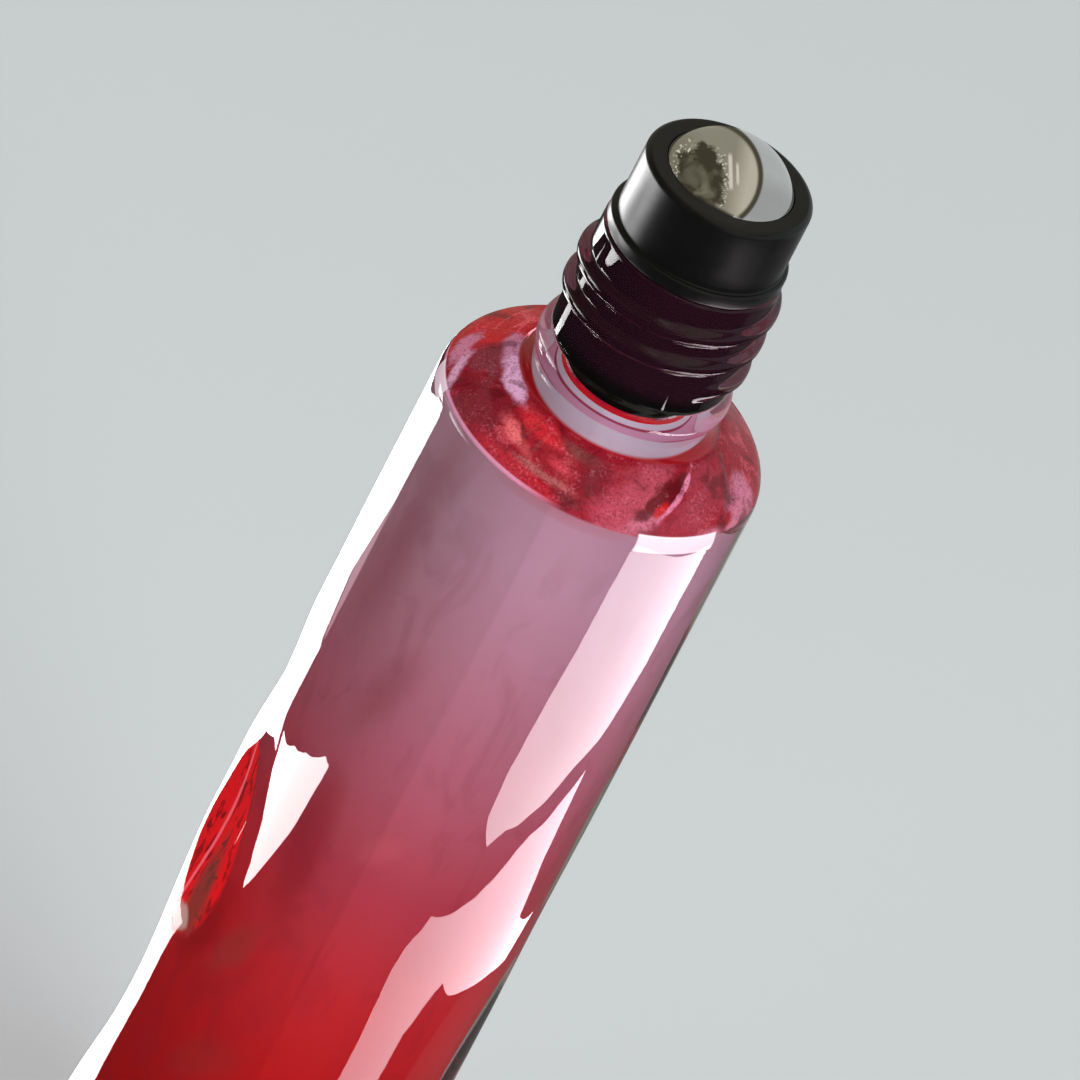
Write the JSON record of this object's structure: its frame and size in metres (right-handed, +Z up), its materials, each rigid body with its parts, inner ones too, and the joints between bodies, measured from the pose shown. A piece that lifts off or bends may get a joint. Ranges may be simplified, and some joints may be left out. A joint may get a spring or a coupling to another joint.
{
  "type": "roll on bottle",
  "caption": "Thick dimpled glass roll-on bottle filled with red oil, with a threaded neck, a black press-in roller housing and a steel ball on a sprung seat.",
  "frame": {"origin": "middle of the base, on the surface that the bottle stands on", "axes": "+Z up the bottle to the ball, -Y towards the front that the picture looks at, +X to its right"},
  "size_m": [0.0214, 0.0214, 0.0937],
  "materials": {
    "bottle_glass": "polished thick glass, tinted mauve at the shoulder and red below",
    "fragrance_oil": "clear red liquid",
    "housing_plastic": "satin black moulded plastic",
    "seat_plastic": "natural moulded plastic",
    "spring_steel": "drawn stainless wire",
    "ball_steel": "polished stainless steel"
  },
  "bodies": {
    "bottle": {"glass_bottle": "bottle_glass", "fragrance_oil": "fragrance_oil", "roller_housing": "housing_plastic", "seat_spring": "spring_steel"},
    "seat": {"ball_seat": "seat_plastic"},
    "ball": {"roller_ball": "ball_steel"}
  },
  "joints": [
    {"name": "seat_press", "type": "slide", "parent": "bottle", "child": "seat", "axis": [0, 0, -1], "range_m": [0, 0.0003], "stiffness_N_per_m": 600, "springref_m": -0.0012, "deforming": ["seat_spring"]},
    {"name": "ball_roll", "type": "hinge", "parent": "seat", "child": "ball", "pos_m": [0, 0, 0.08896], "axis": [1, 0, 0], "continuous": true}
  ]
}
